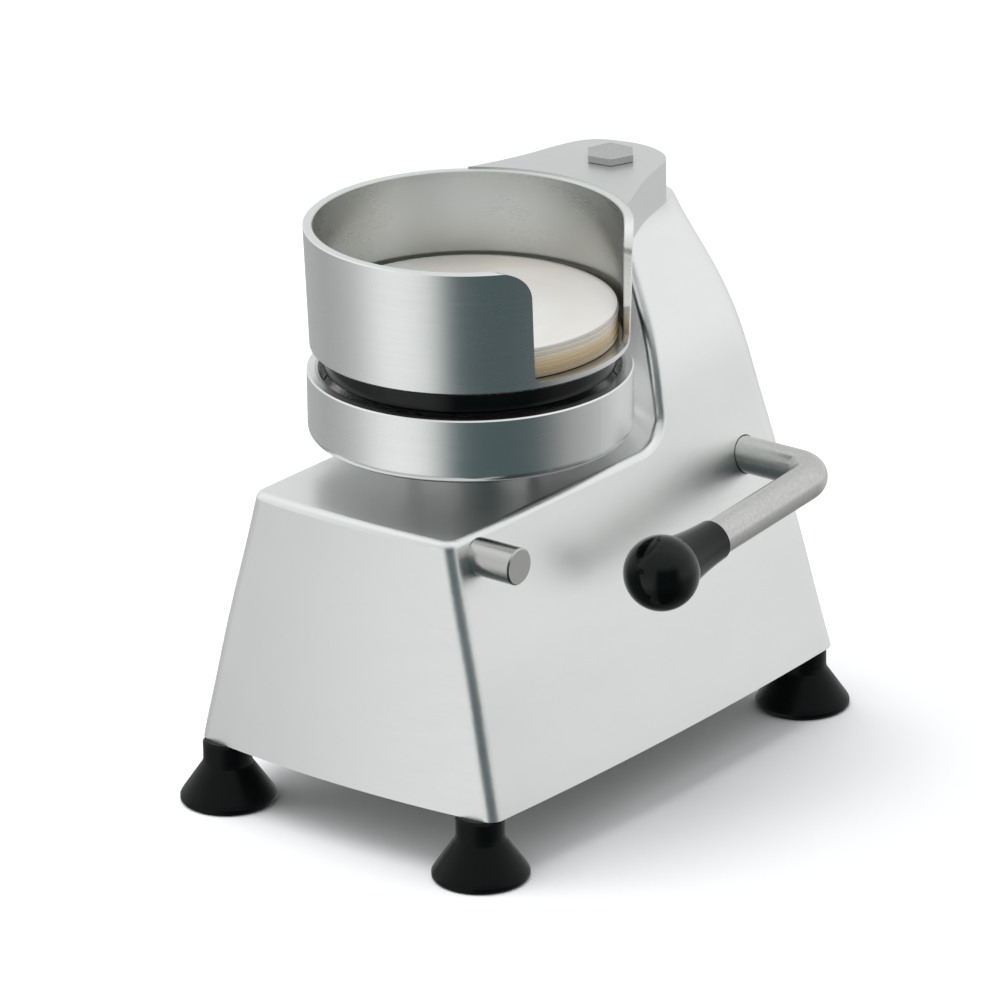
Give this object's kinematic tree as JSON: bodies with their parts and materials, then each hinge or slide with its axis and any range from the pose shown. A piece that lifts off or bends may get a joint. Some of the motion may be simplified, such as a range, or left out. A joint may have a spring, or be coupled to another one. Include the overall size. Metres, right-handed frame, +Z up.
{
  "type": "patty press",
  "caption": "Lever-operated round patty press on a hollow cast base with rubber feet, swinging head with film holder, black press disc and rising ejector plate.",
  "frame": {"origin": "middle of the footprint's rectangle, on the surface the feet stand on", "axes": "+Z up along the mould's axis, +X towards the lever's side, -Y towards the front, with the mould nearer the front and the column at the back"},
  "size_m": [0.2088, 0.2798, 0.2672],
  "materials": {
    "cast_aluminium": "polished casting",
    "turned_aluminium": "fine turned",
    "arm_aluminium": "satin",
    "black_rubber": "moulded satin",
    "black_disc": "gloss",
    "black_grip": "gloss",
    "bright_steel": "fine brushed",
    "fastener_steel": "zinc plated",
    "bronze": "turned",
    "film": "glossy waxed paper"
  },
  "bodies": {
    "base": {"body_casting": "cast_aluminium", "foot_front_left": "black_rubber", "foot_front_right": "black_rubber", "foot_rear_left": "black_rubber", "foot_rear_right": "black_rubber", "foot_screws": "fastener_steel", "mould_pedestal": "turned_aluminium", "mould_bowl": "turned_aluminium", "mould_screws": "fastener_steel", "ejector_bush": "bronze", "stop_pin": "bright_steel", "column_bush_upper": "bronze", "column_bush_lower": "bronze", "lever_bush_right": "bronze", "lever_bush_left": "bronze", "rocker_pivot_pin": "bright_steel", "pin_clips": "fastener_steel"},
    "lever": {"lever_rod": "bright_steel", "lever_grip": "black_grip", "pinion": "bright_steel", "pinion_pin": "bright_steel", "lever_clip": "fastener_steel"},
    "column": {"column_rod": "bright_steel", "thrust_washer": "bright_steel", "pivot_bolt": "fastener_steel", "rocker_drive_pin": "bright_steel"},
    "arm": {"swing_arm": "arm_aluminium", "film_ring": "turned_aluminium", "arm_dowels": "fastener_steel", "arm_bush": "bronze", "press_disc": "black_disc", "disc_screws": "fastener_steel"},
    "film_discs": {"film_stack": "film"},
    "rocker": {"rocker_beam": "bright_steel", "rocker_bush": "bronze"},
    "ejector": {"ejector_stem": "bright_steel", "ejector_plate": "bright_steel", "ejector_screw": "fastener_steel", "ejector_pin": "bright_steel"}
  },
  "joints": [
    {"name": "lever_turn", "type": "hinge", "parent": "base", "child": "lever", "pos_m": [-0.0123, 0.0905, 0.127], "axis": [-1, 0, 0], "range_deg": [0, 120]},
    {"name": "column_lift", "type": "slide", "parent": "base", "child": "column", "axis": [0, 0, 1], "range_m": [0, 0.0254]},
    {"name": "arm_swing", "type": "hinge", "parent": "column", "child": "arm", "pos_m": [-0.0123, 0.0705, 0.25], "axis": [0, 0, -1], "range_deg": [0, 95]},
    {"name": "film_discs_out", "type": "slide", "parent": "arm", "child": "film_discs", "axis": [0, 0, 1], "range_m": [0, 0.06]},
    {"name": "rocker_tilt", "type": "hinge", "parent": "base", "child": "rocker", "pos_m": [-0.0123, -0.1015, 0.112], "axis": [1, 0, 0], "range_deg": [0, 8.8]},
    {"name": "ejector_lift", "type": "slide", "parent": "base", "child": "ejector", "axis": [0, 0, 1], "range_m": [0, 0.0107]}
  ],
  "couplings": [
    {"joint": "column_lift", "follows": "lever_turn", "m_per_rad": 0.012},
    {"joint": "rocker_tilt", "follows": "lever_turn", "ratio": 0.071924},
    {"joint": "ejector_lift", "follows": "lever_turn", "m_per_rad": 0.0050299}
  ]
}
